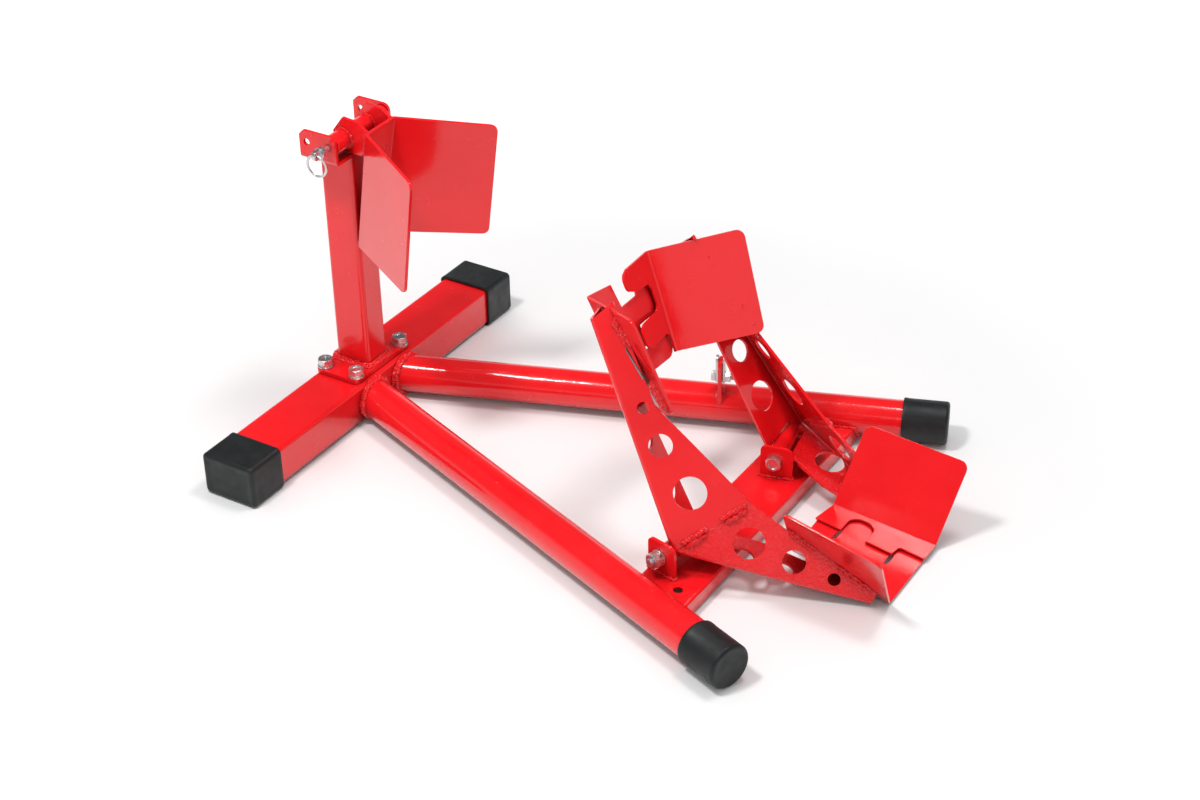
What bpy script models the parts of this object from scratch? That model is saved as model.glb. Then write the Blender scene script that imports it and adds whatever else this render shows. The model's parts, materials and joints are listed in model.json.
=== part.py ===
"""Rocking wheel stand: steel floor frame, swinging V stop on a post, two-sided rocking cradle.
Metres in Blender, millimetres in the numbers below. X runs from the front crossbar to the open
ends of the legs, Y runs along the crossbar (left side is -Y), Z is up and the floor is z = 0.
The numbers count X from the middle of the crossbar; the finished stand's origin is ORIGIN_X
behind it, at the bottom centre of the whole stand's box."""

import math

import bmesh
import bpy
from mathutils import Matrix, Vector

MM = 0.001
ORIGIN_X = 367.099  # middle of the whole stand's length
GAP = 0.3  # clearance left where welded or resting pieces meet

# ---- floor frame ----
BAR_X, BAR_Z, BAR_HALF_Y, BAR_WALL = 70.0, 50.0, 268.0, 3.0
BAR_BOTTOM = 3.0
BAR_CORNER, WELD_NUT_R, WELD_NUT_T = 5.0, 9.5, 9.0
BOOT_WALL, BOOT_LONG, BOOT_END, BOOT_BORE_CORNER = 3.0, 55.0, 5.0, 4.6
PLATE_X, PLATE_Y, PLATE_T, PLATE_MID_X, PLATE_CORNER = 64.0, 112.0, 6.0, -3.0, 6.0
BOLT_DX, BOLT_DY = 24.0, 45.5
POST_X, POST_Y, POST_WALL, POST_MID_X = 49.5, 40.0, 2.5, -4.2
POST_TOP, POST_CORNER = 353.0, 6.0
LEG_R, LEG_WALL, LEG_Z = 24.0, 2.5, 27.0
LEG_START_Y, LEG_ANGLE, LEG_LONG = 32.6, 20.4, 687.0
CAP_R, CAP_LONG, CAP_END = 27.0, 56.0, 3.5
RUBBER_CORNER, RUBBER_EDGE = 5.0, 2.5
MEMBER_X0, MEMBER_X1, MEMBER_Z0, MEMBER_Z1, MEMBER_WALL = 509.0, 583.0, 3.0, 23.0, 3.0
FLOOR_HOLE_X, FLOOR_HOLE_Y, FLOOR_HOLE_D = 560.5, 178.8, 11.0
PAST = 5.0  # how far a cutter reaches past the surface it cuts

# ---- top bracket and front stop ----
EAR_X0, EAR_X1, EAR_OUT_Y, EAR_T, EAR_TOP, EAR_CUT = -27.0, 26.0, 54.5, 4.0, 390.5, 6.0
PIN_X, PIN_Z, PIN_D, FREE_HOLE_X = 15.5, 376.0, 8.0, -16.5
STOP_TOP = (51.5, 27.0, 391.0)
STOP_LOW = (24.4, 23.0, 233.7)
WING_TOP = (159.5, 87.4, 380.0)
WING_LOW = (139.3, 85.4, 230.6)
STOP_T, STOP_CORNER = 4.0, 9.0
LUG_Y, LUG_T = 23.0, 4.0
STOP_SLEEVE_R, STOP_SLEEVE_BORE, STOP_SLEEVE_HALF = 12.5, 5.0, 49.8
PIN_START, PIN_END, COLLAR_Y, COLLAR_R = -68.0, 60.0, (-72.0, -66.0), 7.0
EYE_Y, EYE_HIGH, EYE_T, EYE_HOLE_R = (-84.0, -70.0), 12.0, 5.0, 2.6
RING_Y, RING_R, RING_WIRE_R = -78.0, 13.5, 1.5

# ---- cradle pivots ----
SPLAY = 12.5  # each pivot line is turned this far from Y, so the sides close as they rock
PIVOT = (537.0, 115.0, 44.5)
LUG_OUT, PIVOT_LUG_T = 48.2, 4.0
LUG_U0, LUG_U1, LUG_TOP = -17.0, 22.5, 64.5
ROCKER_SLEEVE_R, ROCKER_SLEEVE_HALF = 11.0, 43.5

# ---- cradle side, given for the right (+Y) half ----
FOLD_TOP = (406.0, 107.0, 287.0)
FOLD_PIVOT = (539.0, 155.5, 50.5)
FOLD_END = (746.0, 74.0, 4.6)
ARM_VERTEX = (604.4, 93.0, 102.5)
UPPER_INNER_EDGE = ((402.0, 79.5, 287.0),)
INNER_PIVOT = (543.0, 82.0, 57.3)
LOWER_INNER_EDGE = ((735.0, 54.0, 6.5), (612.5, 67.5, 39.0), (564.0, 84.0, 50.5))
UPPER_WING_EDGE = ((499.6, 105.1, 191.9), (416.3, 94.7, 297.0))
LOWER_WING_EDGE = ((640.5, 86.1, 80.2), (750.0, 61.3, 19.3))
ARM_T, ARM_BEND = 3.2, 3.0
SLOT_PAST, SLOT_LONG, SLOT_DEEP = 60.0, 82.0, 26.0
SEAM_SLOT, SEAM_SLOT_WIDE = (0.34, 0.63), 1.4  # open stretch of the seam between upper arm and wing
UPPER_HOLES = (((542.6, 121.8, 112.2), 19.0), ((503.2, 118.9, 160.1), 13.6), ((477.6, 113.1, 198.4), 6.8))
UPPER_INNER_HOLES = (((513.5, 109.0, 104.5), 18.5), ((482.0, 107.5, 158.0), 13.4))
LOWER_HOLES = (((611.8, 111.0, 62.8), 18.2), ((660.2, 95.5, 45.6), 13.4), ((703.5, 82.2, 29.5), 7.2))
LOWER_INNER_HOLES = (((599.6, 110.4, 38.6), 18.0), ((645.0, 93.0, 30.0), 12.5))

CRADLE_T = 3.0
UP_TOP_BEND, UP_TOP_TIP = (377.5, 62.0, 283.5), (471.5, 122.0, 311.0)
UP_LOW_TIP, UP_LOW_BEND = (512.0, 105.0, 194.0), (425.0, 49.0, 170.0)
LO_REAR_BEND, LO_REAR_TIP = (634.9, 48.0, 21.4), (648.4, 103.2, 111.5)
LO_FRONT_TIP, LO_FRONT_BEND = (773.2, 115.4, 92.6), (761.0, 58.0, 2.4)
UP_SHIFT, UP_RISE, LO_SHIFT = 5.2, 0.12, 4.8  # how far one half's webs lie behind the other's
CRADLE_CORNER = 10.0

# ---- anchor tab on the right leg ----
TAB_AT, TAB_ACROSS, TAB_WIDE, TAB_T, TAB_TOP = 408.0, 10.0, 24.0, 5.0, 97.0
TAB_FOOT, TAB_BOLT_ACROSS, TAB_BOLT_Z = 33.0, 12.0, 73.0
LINK_T, LINK_WIDE, LINK_UP, LINK_DOWN = 3.0, 12.0, 29.0, 8.0

M10 = dict(radius=5.0, af=17.0, head=6.5, nut=8.0, washer_r=10.0, washer_t=2.0, spring_r=8.7, spring_t=2.6)
SPRING_GAP, STACK_GAP = 1.6, 0.15  # slot in a spring washer, clearance between stacked fasteners
INTO_HEAD, LOOSE = 2.0, 0.35  # overlap of a shank with its head, clearance of a washer round its bolt
BASE_BOLT_LONG, PIVOT_BOLT_PAST, ANCHOR_BOLT_LONG = 23.0, 17.0, 24.0
M8 = dict(radius=4.0, af=13.0, head=5.3, nut=6.5)

for old in list(bpy.data.objects):
    bpy.data.objects.remove(old, do_unlink=True)

scene = bpy.context.scene
parts = bpy.data.collections.new("wheel_stand")
cutters = bpy.data.collections.new("cutters")
scene.collection.children.link(parts)
scene.collection.children.link(cutters)
cutters.hide_render = True


# ---------------------------------------------------------------- materials
def material(name, colour, roughness, metallic):
    made = bpy.data.materials.new(name)
    made.use_nodes = True
    shader = made.node_tree.nodes["Principled BSDF"]
    shader.inputs["Base Color"].default_value = (*colour, 1.0)
    shader.inputs["Roughness"].default_value = roughness
    shader.inputs["Metallic"].default_value = metallic
    return made


RED = material("red_powder_coat", (0.72, 0.012, 0.016), 0.28, 0.0)
RUBBER = material("black_rubber", (0.018, 0.019, 0.020), 0.62, 0.0)
ZINC = material("zinc_plate", (0.62, 0.64, 0.66), 0.32, 1.0)


# ---------------------------------------------------------------- meshes
def side(point, sign):
    """A right-side point on the side that sign names: 1 right, -1 left."""
    return Vector((point[0], sign * point[1], point[2]))


def in_metres(point):
    """A point of the numbers above, moved to the stand's origin."""
    return (Vector(point) - Vector((ORIGIN_X, 0, 0))) * MM


def new_object(name, bm, coat, smooth=False, helper=False):
    bmesh.ops.recalc_face_normals(bm, faces=bm.faces)
    mesh = bpy.data.meshes.new(name)
    for vertex in bm.verts:
        vertex.co = in_metres(vertex.co)
    bm.to_mesh(mesh)
    bm.free()
    made = bpy.data.objects.new(name, mesh)
    if helper:
        cutters.objects.link(made)
        made.hide_render = True
        made.display_type = "WIRE"
    else:
        parts.objects.link(made)
        mesh.materials.append(coat)
    if smooth:
        mesh.shade_smooth()
        mesh.set_sharp_from_angle(angle=math.radians(35))
    return made


def extruded(name, loop, along, coat=RED, helper=False, smooth=False):
    """The solid that a flat outline sweeps when it is extruded by the vector along."""
    bm = bmesh.new()
    face = bm.faces.new([bm.verts.new(point) for point in loop])
    swept = bmesh.ops.extrude_face_region(bm, geom=[face], use_keep_orig=True)
    moved = [item for item in swept["geom"] if isinstance(item, bmesh.types.BMVert)]
    bmesh.ops.translate(bm, verts=moved, vec=along)
    return new_object(name, bm, coat, smooth=smooth, helper=helper)


def rod(name, start, end, radius, coat=RED, segments=32, helper=False):
    """A round bar between two points; six segments make a hexagonal one."""
    axis = end - start
    bm = bmesh.new()
    turn = axis.to_track_quat("Z", "Y").to_matrix().to_4x4()
    bmesh.ops.create_cone(bm, cap_ends=True, segments=segments, radius1=radius, radius2=radius,
                          depth=axis.length, matrix=Matrix.Translation((start + end) / 2) @ turn)
    return new_object(name, bm, coat, smooth=segments > 6, helper=helper)


def block(name, centre, size, axes):
    """A helper cuboid of three side lengths along three axes."""
    bm = bmesh.new()
    shape = Matrix([axis.normalized() * length for axis, length in zip(axes, size)]).transposed().to_4x4()
    bmesh.ops.create_cube(bm, size=1.0, matrix=Matrix.Translation(centre) @ shape)
    return new_object(name, bm, None, helper=True)


def rounded(points, radii, steps=4):
    """A flat loop with each corner replaced by an arc of its radius."""
    out = []
    count = len(points)
    for k, corner in enumerate(points):
        radius = radii[k]
        before, after = points[k - 1], points[(k + 1) % count]
        if radius <= 0:
            out.append(corner.copy())
            continue
        a = (before - corner).normalized()
        b = (after - corner).normalized()
        half = a.angle(b) / 2
        reach = radius / math.tan(half)
        centre = corner + (a + b).normalized() * (radius / math.sin(half))
        start = corner + a * reach - centre
        end = corner + b * reach - centre
        turn = start.angle(end)
        for step in range(steps + 1):
            share = step / steps
            arc = start * math.sin((1 - share) * turn) + end * math.sin(share * turn)
            out.append(centre + arc / math.sin(turn))
    return out


def boolean(body, other, operation="DIFFERENCE", solver="EXACT"):
    modifier = body.modifiers.new(operation.lower(), "BOOLEAN")
    modifier.operation = operation
    modifier.object = other
    modifier.solver = solver


def drill(body, start, end, radius, segments=24, solver="EXACT"):
    boolean(body, rod(body.name + "_hole", start, end, radius, segments=segments, helper=True), solver=solver)


def join(body, other):
    boolean(body, other, "UNION")


def box_loop(x0, x1, y0, y1, z):
    return [Vector((x0, y0, z)), Vector((x1, y0, z)), Vector((x1, y1, z)), Vector((x0, y1, z))]


def half_space(name, point, normal, size=900.0):
    """A helper block that fills the side of a plane that the normal points into."""
    normal = normal.normalized()
    first = normal.orthogonal()
    return block(name, point + normal * (size / 2), (2 * size, 2 * size, size),
                 (first, normal.cross(first), normal))


def shared_line(first, second):
    return [p for p in first if any((p - q).length < 1e-3 for q in second)]


def round_bend(first, second, line, radius, steps=4):
    """Moves the corners two walls share back from the bend and returns the rows of the arc between."""
    along = (line[1] - line[0]).normalized()
    inward = []
    for wall in (first, second):
        middle = sum(wall, Vector()) / len(wall) - line[0]
        inward.append((middle - along * along.dot(middle)).normalized())
    half = inward[0].angle(inward[1]) / 2
    reach = radius / math.tan(half)
    centre = (inward[0] + inward[1]).normalized() * (radius / math.sin(half))
    start, end = inward[0] * reach - centre, inward[1] * reach - centre
    turn = start.angle(end)
    rows = []
    for step in range(steps + 1):
        share = step / steps
        arc = (start * math.sin((1 - share) * turn) + end * math.sin(share * turn)) / math.sin(turn)
        rows.append([corner + centre + arc for corner in line])
    for wall, row in ((first, rows[0]), (second, rows[-1])):
        for corner, moved in zip(line, row):
            at = min(range(len(wall)), key=lambda k: (wall[k] - corner).length)
            wall[at] = moved
    return rows


def folded_sheet(name, walls, thickness, bend_radius=4.0):
    """A sheet of flat walls, each a loop of points. Two walls that share a line are bent along it."""
    walls = [[point.copy() for point in wall] for wall in walls]
    loops = list(walls)
    for i, first in enumerate(walls):
        for second in walls[i + 1:]:
            line = shared_line(first, second)
            if len(line) == 2:
                rows = round_bend(first, second, line, bend_radius)
                loops += [[low[0], high[0], high[1], low[1]] for low, high in zip(rows, rows[1:])]
    bm = bmesh.new()
    known = {}
    for loop in loops:
        keys = [tuple(round(value, 3) for value in point) for point in loop]
        for key, point in zip(keys, loop):
            if key not in known:
                known[key] = bm.verts.new(point)
        bm.faces.new([known[key] for key in keys])
    made = new_object(name, bm, RED)
    solidify = made.modifiers.new("thickness", "SOLIDIFY")
    solidify.thickness = thickness * MM
    solidify.offset = 0.0
    solidify.use_even_offset = True
    return made


def hexagon(name, base, axis, across_flats, height):
    return rod(name, base, base + axis.normalized() * height, across_flats / math.sqrt(3), ZINC, 6)


# ---------------------------------------------------------------- joints
def pivot_empty(name, at):
    made = bpy.data.objects.new(name, None)
    made.location = in_metres(at)
    made.empty_display_size = 0.03
    parts.objects.link(made)
    return made


def hang(body, empty):
    body.parent = empty
    body.matrix_parent_inverse = Matrix.Translation(-empty.location)


# ---------------------------------------------------------------- floor frame
def crossbar():
    z0, z1 = BAR_BOTTOM, BAR_BOTTOM + BAR_Z

    def section(inset, y, radius):
        corners = [
            Vector((-BAR_X / 2 + inset, y, z0 + inset)),
            Vector((BAR_X / 2 - inset, y, z0 + inset)),
            Vector((BAR_X / 2 - inset, y, z1 - inset)),
            Vector((-BAR_X / 2 + inset, y, z1 - inset)),
        ]
        return rounded(corners, [radius] * 4, 3)

    bar = extruded("crossbar", section(0, -BAR_HALF_Y, BAR_CORNER), Vector((0, 2 * BAR_HALF_Y, 0)))
    bore = section(BAR_WALL, -BAR_HALF_Y - PAST, BAR_CORNER - BAR_WALL)
    boolean(bar, extruded("crossbar_bore", bore, Vector((0, 2 * (BAR_HALF_Y + PAST), 0)), helper=True))
    for x, y in bolt_places():
        top = Vector((x, y, z1 - BAR_WALL + 1))
        low = top - Vector((0, 0, WELD_NUT_T + 1))
        nut = rod("crossbar_weld_nut", low, top, WELD_NUT_R, segments=6, helper=True)
        join(bar, nut)
    for x, y in bolt_places():
        drill(bar, Vector((x, y, z1 - BAR_WALL - WELD_NUT_T - PAST)), Vector((x, y, z1 + PAST)), 5.4, 16)


def bolt_places():
    return [(PLATE_MID_X + i * BOLT_DX, j * BOLT_DY) for i in (-1, 1) for j in (-1, 1)]


def round_edges(rubber):
    bevel = rubber.modifiers.new("edge", "BEVEL")
    bevel.width = RUBBER_EDGE * MM
    bevel.segments = 3
    bevel.limit_method = "ANGLE"
    bevel.angle_limit = math.radians(50)


def boots():
    half_x = BAR_X / 2 + GAP + BOOT_WALL
    top = BAR_BOTTOM + BAR_Z + GAP + BOOT_WALL
    outer_y = BAR_HALF_Y + GAP + BOOT_END

    def section(wall, bottom, y, radius):
        corners = [(-half_x + wall, bottom), (half_x - wall, bottom), (half_x - wall, top - wall),
                   (-half_x + wall, top - wall)]
        return rounded([Vector((x, y, z)) for x, z in corners], [radius] * 4, 3)

    for sign, name in ((-1, "boot_left"), (1, "boot_right")):
        solid = section(0, 0, sign * (outer_y - BOOT_LONG), RUBBER_CORNER)
        boot = extruded(name, solid, Vector((0, sign * BOOT_LONG, 0)), RUBBER)
        round_edges(boot)
        bore = section(BOOT_WALL, BAR_BOTTOM - GAP, sign * (BAR_HALF_Y + GAP), BOOT_BORE_CORNER)
        boolean(boot, extruded(name + "_bore", bore, Vector((0, -sign * (BOOT_LONG + PAST), 0)), helper=True))


def base_plate():
    x0, x1 = PLATE_MID_X - PLATE_X / 2, PLATE_MID_X + PLATE_X / 2
    z = BAR_BOTTOM + BAR_Z + GAP
    loop = rounded(box_loop(x0, x1, -PLATE_Y / 2, PLATE_Y / 2, z), [PLATE_CORNER] * 4)
    plate = extruded("base_plate", loop, Vector((0, 0, PLATE_T)))
    for x, y in bolt_places():
        drill(plate, Vector((x, y, z - PAST)), Vector((x, y, z + PLATE_T + PAST)), 5.5, 16)
    return z + PLATE_T


def washers(names, seat, up, slot_way):
    """A flat washer and a slotted spring washer on a seat; returns the seat on top of them."""
    flat_name, spring_name = names
    flat = rod(flat_name, seat, seat + up * M10["washer_t"], M10["washer_r"], ZINC, 28)
    drill(flat, seat - up * PAST, seat + up * PAST, M10["radius"] + LOOSE, 20)
    seat = seat + up * (M10["washer_t"] + STACK_GAP)
    spring = rod(spring_name, seat, seat + up * M10["spring_t"], M10["spring_r"], ZINC, 28)
    drill(spring, seat - up * PAST, seat + up * PAST, M10["radius"] + LOOSE, 20)
    slot_way = slot_way.normalized()
    slot = block(spring_name + "_slot", seat + slot_way * M10["spring_r"],
                 (2 * M10["spring_r"], SPRING_GAP, 2 * PAST), (slot_way, up.cross(slot_way), up))
    boolean(spring, slot)
    return seat + up * (M10["spring_t"] + STACK_GAP)


def base_bolts(z):
    up = Vector((0, 0, 1))
    for k, (x, y) in enumerate(bolt_places(), 1):
        names = (f"base_washer_{k}", f"base_spring_washer_{k}")
        slot_way = Vector((math.cos(2.1 * k), math.sin(2.1 * k), 0))  # each slot came to rest elsewhere
        seat = washers(names, Vector((x, y, z + STACK_GAP)), up, slot_way)
        bolt = hexagon(f"base_bolt_{k}", seat, up, M10["af"], M10["head"])
        shank = rod(bolt.name + "_shank", seat + up * INTO_HEAD, seat - up * BASE_BOLT_LONG, M10["radius"],
                    segments=16, helper=True)
        join(bolt, shank)


def rect_tube(name, cx, sx, sy, wall, z0, z1, radius):
    def section(inset, z, r):
        loop = box_loop(cx - sx / 2 + inset, cx + sx / 2 - inset, -sy / 2 + inset, sy / 2 - inset, z)
        return rounded(loop, [r] * 4, 4)

    tube = extruded(name, section(0, z0, radius), Vector((0, 0, z1 - z0)))
    bore = section(wall, z0 - PAST, radius - wall)
    boolean(tube, extruded(name + "_bore", bore, Vector((0, 0, z1 - z0 + 2 * PAST)), helper=True))


def leg_line(sign):
    angle = math.radians(LEG_ANGLE)
    start = Vector((BAR_X / 2, sign * LEG_START_Y, LEG_Z))
    along = Vector((math.cos(angle), sign * math.sin(angle), 0))
    inward = Vector((math.sin(angle), -sign * math.cos(angle), 0))
    return start, along, inward


def legs():
    for sign, word in ((-1, "left"), (1, "right")):
        start, along, _ = leg_line(sign)
        tube_end = start + along * (LEG_LONG - CAP_END - GAP)
        leg = rod(f"leg_{word}", start - along * 40, tube_end, LEG_R, segments=36)
        bore_start, bore_end = start - along * 60, tube_end + along * PAST
        boolean(leg, rod(f"leg_{word}_bore", bore_start, bore_end, LEG_R - LEG_WALL, segments=36, helper=True))
        face = Vector((BAR_X / 2 + GAP, 0, 0))
        boolean(leg, half_space(f"leg_{word}_mitre", face, Vector((-1, 0, 0))))
        cap_end = start + along * LEG_LONG
        cap = rod(f"leg_cap_{word}", cap_end - along * CAP_LONG, cap_end, CAP_R, RUBBER, 36)
        round_edges(cap)
        mouth, seat = cap_end - along * (CAP_LONG + PAST), cap_end - along * CAP_END
        boolean(cap, rod(f"leg_cap_{word}_bore", mouth, seat, LEG_R + GAP, segments=36, helper=True))


def cross_member():
    z0, z1 = MEMBER_Z0, MEMBER_Z1
    wall = MEMBER_WALL
    profile = [
        (MEMBER_X0, z0), (MEMBER_X0 + wall, z0), (MEMBER_X0 + wall, z1 - wall), (MEMBER_X1 - wall, z1 - wall),
        (MEMBER_X1 - wall, z0), (MEMBER_X1, z0), (MEMBER_X1, z1), (MEMBER_X0, z1),
    ]
    radii = [0, 0, 1.5, 1.5, 0, 0, 3.5, 3.5]
    loop = rounded([Vector((x, -260, z)) for x, z in profile], radii, 3)
    member = extruded("cross_member", loop, Vector((0, 520, 0)))
    for sign, word in ((-1, "left"), (1, "right")):
        start, along, inward = leg_line(sign)
        end = start + along * LEG_LONG
        boolean(member, rod(f"member_leg_{word}", start, end, LEG_R + GAP, segments=36, helper=True))
        boolean(member, half_space(f"member_end_{word}", start + inward * (LEG_R / 2 + GAP), -inward))
        hole = Vector((FLOOR_HOLE_X, sign * FLOOR_HOLE_Y, z1))
        drill(member, hole - Vector((0, 0, MEMBER_WALL + PAST)), hole + Vector((0, 0, PAST)), FLOOR_HOLE_D / 2)


# ---------------------------------------------------------------- top bracket
def top_bracket():
    z0 = POST_TOP + GAP
    profile = [
        (-EAR_OUT_Y, z0), (EAR_OUT_Y, z0), (EAR_OUT_Y, EAR_TOP), (EAR_OUT_Y - EAR_T, EAR_TOP),
        (EAR_OUT_Y - EAR_T, z0 + EAR_T), (-EAR_OUT_Y + EAR_T, z0 + EAR_T), (-EAR_OUT_Y + EAR_T, EAR_TOP),
        (-EAR_OUT_Y, EAR_TOP),
    ]
    radii = [5, 5, 0, 0, 1.5, 1.5, 0, 0]
    loop = rounded([Vector((EAR_X0, y, z)) for y, z in profile], radii, 3)
    bracket = extruded("top_bracket", loop, Vector((EAR_X1 - EAR_X0, 0, 0)))
    corners = ((EAR_X0, z0 - PAST), (EAR_X1, z0 - PAST), (EAR_X1, EAR_TOP), (EAR_X0 + EAR_CUT, EAR_TOP),
               (EAR_X0, EAR_TOP - EAR_CUT))
    outline = rounded([Vector((x, -EAR_OUT_Y - PAST, z)) for x, z in corners], [7, 0, 9, 1.5, 1.5], 4)
    keep = extruded("top_bracket_outline", outline, Vector((0, 2 * (EAR_OUT_Y + PAST), 0)), helper=True)
    boolean(bracket, keep, "INTERSECT")
    for x in (PIN_X, FREE_HOLE_X):
        ends = [Vector((x, sign * (EAR_OUT_Y + PAST), PIN_Z)) for sign in (-1, 1)]
        drill(bracket, *ends, PIN_D / 2 + 0.5)


# ---------------------------------------------------------------- front stop
def stop_plate():
    walls = [[side(STOP_TOP, -1), side(STOP_TOP, 1), side(STOP_LOW, 1), side(STOP_LOW, -1)]]
    for sign in (-1, 1):
        bend_top, bend_low = side(STOP_TOP, sign), side(STOP_LOW, sign)
        tip_top, tip_low = side(WING_TOP, sign), side(WING_LOW, sign)
        normal = (bend_low - bend_top).cross(tip_top - bend_top).normalized()
        tip_low -= normal * normal.dot(tip_low - bend_top)
        walls.append(rounded([bend_top, tip_top, tip_low, bend_low], [0, STOP_CORNER, STOP_CORNER, 0], 5))
    return folded_sheet("stop_plate", walls, STOP_T)


def stop_lugs():
    lean = (STOP_TOP[0] - STOP_LOW[0]) / (STOP_TOP[2] - STOP_LOW[2])
    back = STOP_T / 2 + GAP + 0.2

    def plate_back(z):
        return STOP_TOP[0] - (STOP_TOP[2] - z) * lean - back

    outline = [(1.0, 366.0), (1.0, 384.0), (15.5, 403.0), (38.0, 401.0), (plate_back(392.0), 392.0),
               (plate_back(362.0), 362.0), (40.0, 358.8), (12.0, 358.8)]
    made = []
    for sign, word in ((-1, "left"), (1, "right")):
        y0 = sign * LUG_Y - LUG_T / 2
        loop = [Vector((x, y0, z)) for x, z in outline]
        lug = extruded(f"stop_lug_{word}", loop, Vector((0, LUG_T, 0)))
        ends = [Vector((PIN_X, y, PIN_Z)) for y in (y0 - PAST, y0 + LUG_T + PAST)]
        drill(lug, *ends, STOP_SLEEVE_R + GAP, 32)
        made.append(lug)
    return made


def stop_sleeve():
    a = Vector((PIN_X, -STOP_SLEEVE_HALF, PIN_Z))
    b = Vector((PIN_X, STOP_SLEEVE_HALF, PIN_Z))
    sleeve = rod("stop_sleeve", a, b, STOP_SLEEVE_R, segments=32)
    drill(sleeve, a - Vector((0, PAST, 0)), b + Vector((0, PAST, 0)), STOP_SLEEVE_BORE)
    return sleeve


def lock_pin():
    def at(y):
        return Vector((PIN_X, y, PIN_Z))

    pin = rod("lock_pin", at(PIN_START), at(PIN_END), PIN_D / 2, ZINC, 20)
    join(pin, rod("lock_pin_collar", at(COLLAR_Y[0]), at(COLLAR_Y[1]), COLLAR_R, segments=24, helper=True))
    half_t, half_z = EYE_T / 2, EYE_HIGH / 2
    corners = [Vector((PIN_X - half_t, y, PIN_Z + z)) for y, z in (
        (EYE_Y[1], -half_z), (EYE_Y[1], half_z), (EYE_Y[0], half_z), (EYE_Y[0], -half_z))]
    eye = extruded("lock_pin_eye", rounded(corners, [0, 0, 5.5, 5.5], 5), Vector((EYE_T, 0, 0)), helper=True)
    join(pin, eye)
    drill(pin, at(RING_Y) - Vector((EYE_T, 0, 0)), at(RING_Y) + Vector((EYE_T, 0, 0)), EYE_HOLE_R, 16)
    return pin


def pin_ring():
    bpy.ops.mesh.primitive_torus_add(
        major_radius=RING_R, minor_radius=RING_WIRE_R, major_segments=28, minor_segments=10)
    torus = bpy.context.object
    bm = bmesh.new()
    bm.from_mesh(torus.data)
    bpy.data.objects.remove(torus)
    hung = Matrix.Translation((PIN_X, RING_Y, PIN_Z - RING_R)) @ Matrix.Rotation(math.pi / 2, 4, "X")
    bmesh.ops.transform(bm, matrix=hung, verts=bm.verts)
    return new_object("pin_ring", bm, ZINC, smooth=True)


# ---------------------------------------------------------------- cradle pivots
def pivot_frame(sign):
    """Pivot centre, unit vector outward along the bolt, and unit vector along the lugs."""
    turn = math.radians(SPLAY)
    outward = Vector((-math.sin(turn), sign * math.cos(turn), 0))
    along = Vector((math.cos(turn), sign * math.sin(turn), 0))
    return side(PIVOT, sign), outward, along


def pivot_lugs():
    bottom = MEMBER_Z1 + GAP
    for sign, word in ((-1, "left"), (1, "right")):
        centre, outward, along = pivot_frame(sign)
        for place, a in (("inner", -LUG_OUT), ("outer", LUG_OUT - PIVOT_LUG_T)):
            corners = [(LUG_U0, bottom), (LUG_U1, bottom), (LUG_U1, LUG_TOP), (LUG_U0, LUG_TOP)]
            foot = Vector((centre.x, centre.y, 0)) + outward * a
            loop = [foot + along * u + Vector((0, 0, z)) for u, z in corners]
            lug = extruded(f"pivot_lug_{word}_{place}", rounded(loop, [0, 0, 9, 6], 4), outward * PIVOT_LUG_T)
            reach = outward * (PIVOT_LUG_T + PAST)
            drill(lug, centre + outward * a - reach, centre + outward * a + reach, M10["radius"] + 0.4)


def pivot_hardware():
    for sign, word in ((-1, "left"), (1, "right")):
        centre, outward, along = pivot_frame(sign)
        head_face = centre - outward * (LUG_OUT + 0.2)
        bolt = hexagon(f"pivot_bolt_{word}", head_face, -outward, M10["af"], M10["head"])
        shank_end = centre + outward * (LUG_OUT + PIVOT_BOLT_PAST)
        shank_start = head_face - outward * INTO_HEAD
        join(bolt, rod(bolt.name + "_shank", shank_start, shank_end, M10["radius"], segments=20, helper=True))
        names = (f"pivot_washer_{word}", f"pivot_spring_washer_{word}")
        seat = washers(names, centre + outward * (LUG_OUT + STACK_GAP), outward, along + Vector((0, 0, 1)))
        nut = hexagon(f"pivot_nut_{word}", seat, outward, M10["af"], M10["nut"])
        drill(nut, seat - outward * PAST, seat + outward * (M10["nut"] + PAST), M10["radius"] + 0.2, 20)


def rocker_sleeve(sign, word):
    centre, outward, _ = pivot_frame(sign)
    a = centre - outward * ROCKER_SLEEVE_HALF
    b = centre + outward * ROCKER_SLEEVE_HALF
    sleeve = rod(f"rocker_sleeve_{word}", a, b, ROCKER_SLEEVE_R, segments=28)
    drill(sleeve, a - outward * PAST, b + outward * PAST, M10["radius"] + 0.5)
    return sleeve


# ---------------------------------------------------------------- cradle arms
def sleeve_slot(name, centre, outward):
    """A block above the sleeve that keeps the walls of an arm clear of it."""
    up = Vector((0.65, 0, 0.76)).normalized()
    across = outward.cross(up)
    middle = centre - outward * (SLOT_PAST - SLOT_LONG / 2) + up * (SLOT_DEEP / 2)
    wide = 2 * (ROCKER_SLEEVE_R + GAP)
    return block(name + "_slot", middle, (wide, SLOT_DEEP, SLOT_LONG), (across, up, outward))


def mitre(sign):
    a, b, c = side(FOLD_PIVOT, sign), side(ARM_VERTEX, sign), side(INNER_PIVOT, sign)
    normal = (b - a).cross(c - a).normalized()
    return a, normal if normal.z > 0 else -normal


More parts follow.
